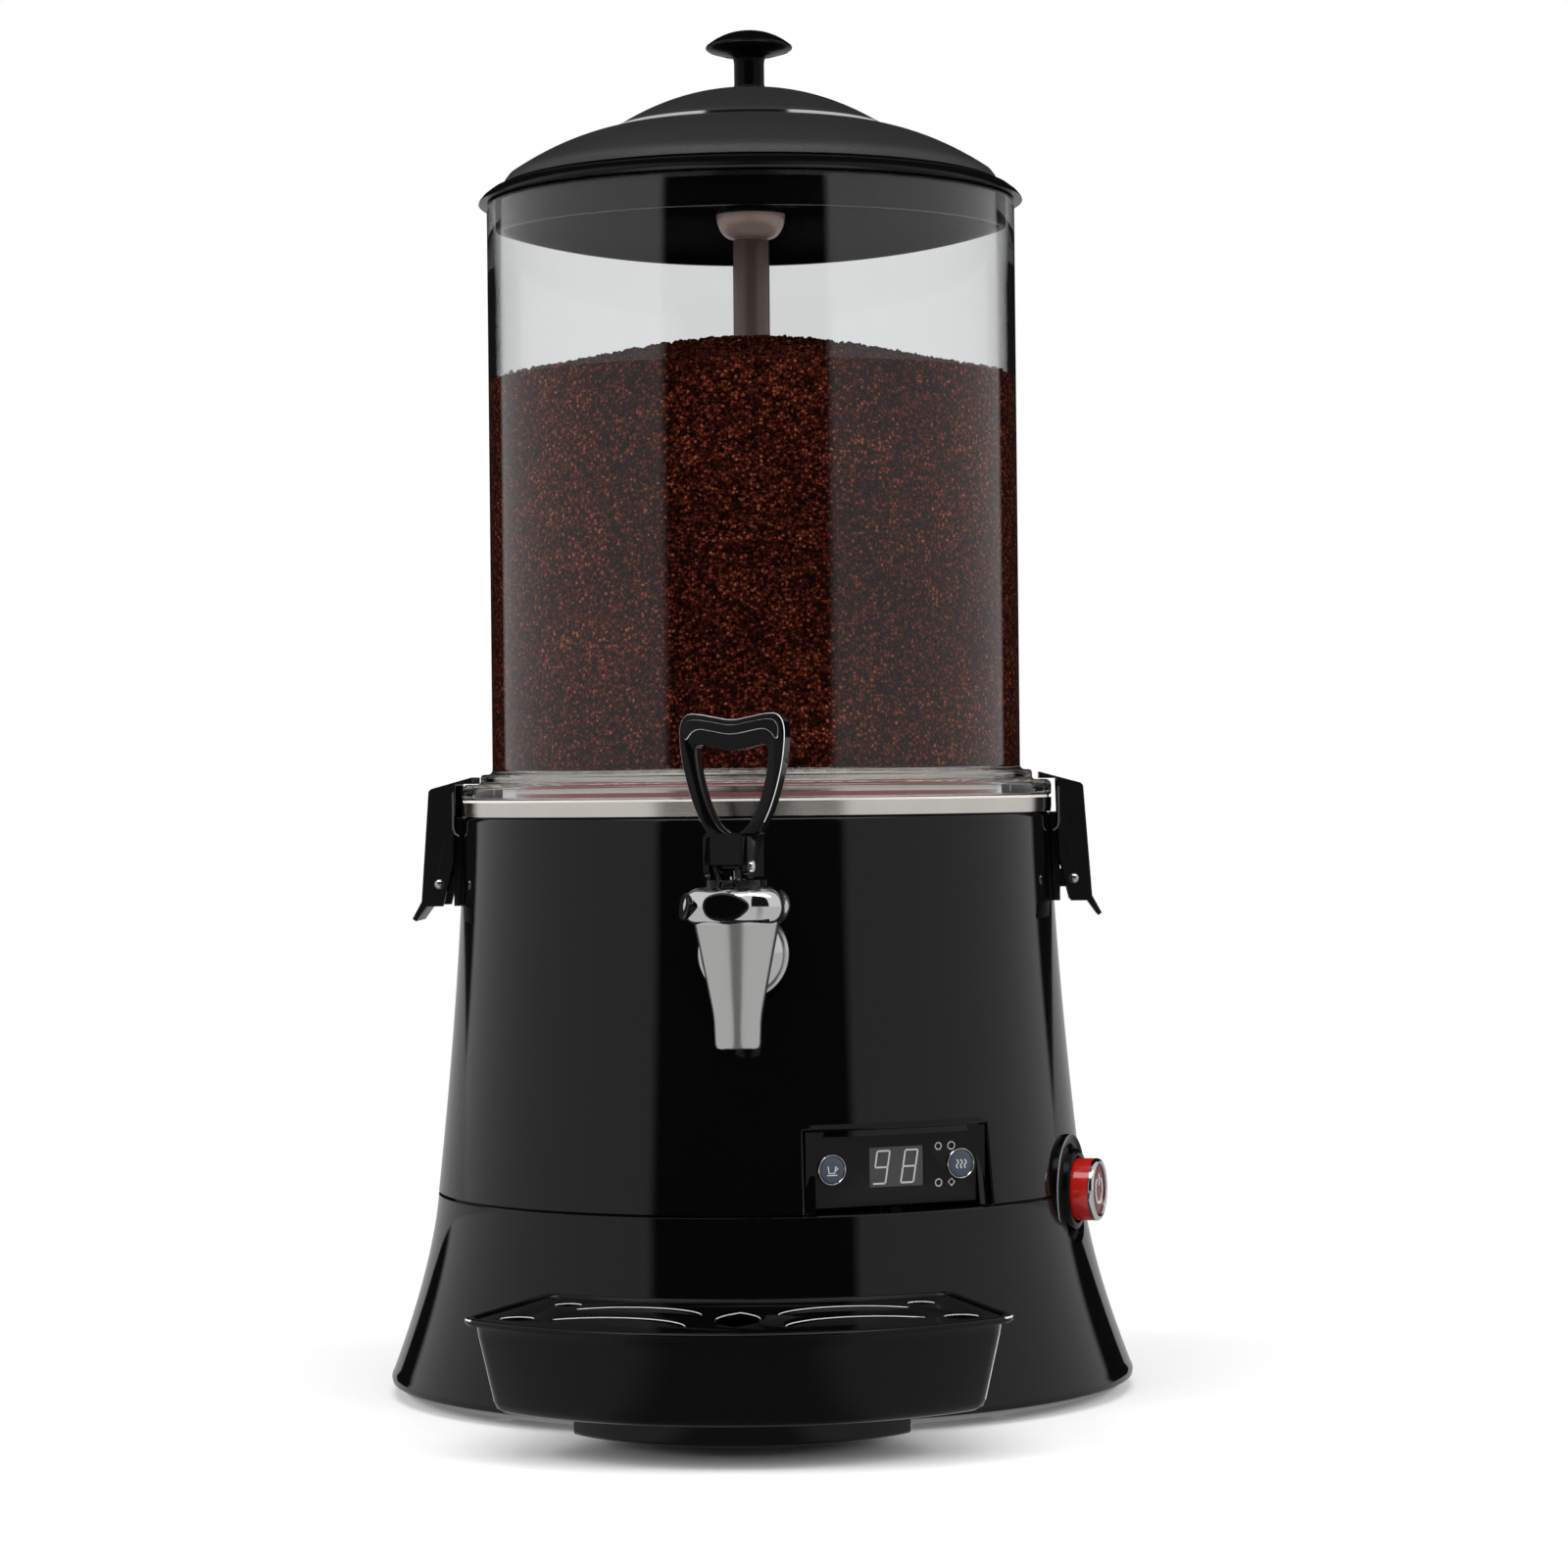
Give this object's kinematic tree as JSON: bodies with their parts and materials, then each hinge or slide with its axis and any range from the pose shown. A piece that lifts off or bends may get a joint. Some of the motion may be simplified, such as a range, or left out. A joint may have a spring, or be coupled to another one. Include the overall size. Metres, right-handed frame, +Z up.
{
  "type": "hot chocolate dispenser",
  "caption": "Countertop drink dispenser: tapered black heated base, clear bowl with lid and agitator, lever tap, side latches and drip tray.",
  "frame": {"origin": "on the bowl's axis at table level, at the middle of the four feet", "axes": "+Z up along the bowl's axis, the tap and tray face -Y, +X to the right seen from the front"},
  "size_m": [0.3, 0.3968, 0.55],
  "materials": {
    "gloss_black": "glossy moulded casing",
    "satin_black": "fine grained satin",
    "handle_black": "glossy",
    "panel_black": "smooth",
    "clear_bowl": "clear polycarbonate",
    "drink_granules": "coarse ground granules",
    "smoky_tube": "smoky translucent moulding",
    "basin_steel": "polished stainless",
    "screw_steel": "plated",
    "chrome": "satin to bright plating",
    "rubber_dark": "soft",
    "silicone": "translucent red brown",
    "seal_white": "white silicone",
    "button_red": "translucent red",
    "key_blue_grey": "smooth",
    "display_glass": "smoked window",
    "display_grey": "smooth",
    "digit_white": "lit figures",
    "board_green": "circuit board",
    "brass_parts": "turned",
    "motor_grey": "painted"
  },
  "bodies": {
    "base": {"base_skirt": "gloss_black", "upper_housing": "gloss_black", "tray_shelf": "gloss_black", "latch_brackets": "satin_black", "switch_collar": "satin_black", "tap_bonnet": "satin_black", "cord_gland": "satin_black", "tap_inlays": "handle_black", "control_panel": "panel_black", "switch_body": "panel_black", "bowl": "clear_bowl", "granule_fill": "drink_granules", "steel_basin": "basin_steel", "bath_jacket": "basin_steel", "heater_element": "basin_steel", "motor_bracket": "basin_steel", "support_pillars": "basin_steel", "jacket_spacers": "basin_steel", "column_nut": "basin_steel", "base_screws": "screw_steel", "motor_screws": "screw_steel", "latch_pins": "screw_steel", "handle_pin": "screw_steel", "tap_body": "chrome", "tap_shank": "chrome", "tap_escutcheon": "chrome", "tap_locknut": "chrome", "button_rings": "chrome", "tap_spring": "chrome", "rubber_feet": "rubber_dark", "tap_gasket": "rubber_dark", "bowl_gasket": "silicone", "shaft_bushes": "seal_white", "display_window": "display_glass", "display_module": "display_grey", "display_digits": "digit_white", "indicator_lights": "digit_white", "control_board": "board_green", "board_standoffs": "brass_parts", "temperature_probe": "brass_parts", "gear_motor": "motor_grey", "base_plate": "motor_grey"},
    "lid": {"lid": "satin_black", "lid_knob": "satin_black", "knob_screw": "screw_steel"},
    "agitator": {"agitator": "smoky_tube", "drive_shaft": "basin_steel"},
    "tap_handle": {"tap_handle": "handle_black"},
    "tap_stem": {"tap_stem": "chrome", "seat_cup": "seal_white"},
    "latch_left": {"latch_left": "satin_black"},
    "latch_right": {"latch_right": "satin_black"},
    "drip_tray": {"drip_tray": "gloss_black"},
    "drip_grate": {"drip_grate": "gloss_black"},
    "power_button": {"power_button": "button_red"},
    "panel_button_left": {"panel_button_left": "key_blue_grey"},
    "panel_button_right": {"panel_button_right": "key_blue_grey"}
  },
  "joints": [
    {"name": "lid_lift", "type": "slide", "parent": "base", "child": "lid", "axis": [0, 0, 1], "range_m": [0, 0.06]},
    {"name": "agitator_spin", "type": "hinge", "parent": "base", "child": "agitator", "pos_m": [0, 0, 0.2], "axis": [0, 0, 1], "continuous": true},
    {"name": "tap_pull", "type": "hinge", "parent": "base", "child": "tap_handle", "pos_m": [-0.00205, -0.17869, 0.214], "axis": [0.9563, -0.2924, 0], "range_deg": [0, 35], "stiffness_Nm_per_rad": 0.5, "springref_deg": -17.19},
    {"name": "tap_lift", "type": "slide", "parent": "base", "child": "tap_stem", "axis": [0, 0, 1], "range_m": [0, 0.00631], "deforming": ["tap_spring"]},
    {"name": "latch_left_swing", "type": "hinge", "parent": "base", "child": "latch_left", "pos_m": [-0.128, 0, 0.205], "axis": [0, -1, 0], "range_deg": [0, 22]},
    {"name": "latch_right_swing", "type": "hinge", "parent": "base", "child": "latch_right", "pos_m": [0.128, 0, 0.205], "axis": [0, 1, 0], "range_deg": [0, 22]},
    {"name": "tray_slide", "type": "slide", "parent": "base", "child": "drip_tray", "axis": [0, -1, 0], "range_m": [0, 0.06]},
    {"name": "grate_lift", "type": "slide", "parent": "drip_tray", "child": "drip_grate", "axis": [0, 0, 1], "range_m": [0, 0.04]},
    {"name": "power_press", "type": "slide", "parent": "base", "child": "power_button", "axis": [-0.9613, 0.2756, 0], "range_m": [0, 0.003], "stiffness_N_per_m": 800, "springref_m": -0.002},
    {"name": "left_key_press", "type": "slide", "parent": "base", "child": "panel_button_left", "axis": [-0.4695, 0.8829, 0], "range_m": [0, 0.0008], "stiffness_N_per_m": 1500, "springref_m": -0.001},
    {"name": "right_key_press", "type": "slide", "parent": "base", "child": "panel_button_right", "axis": [-0.4695, 0.8829, 0], "range_m": [0, 0.0008], "stiffness_N_per_m": 1500, "springref_m": -0.001}
  ],
  "couplings": [
    {"joint": "tap_lift", "follows": "tap_pull", "m_per_rad": 0.010329}
  ]
}
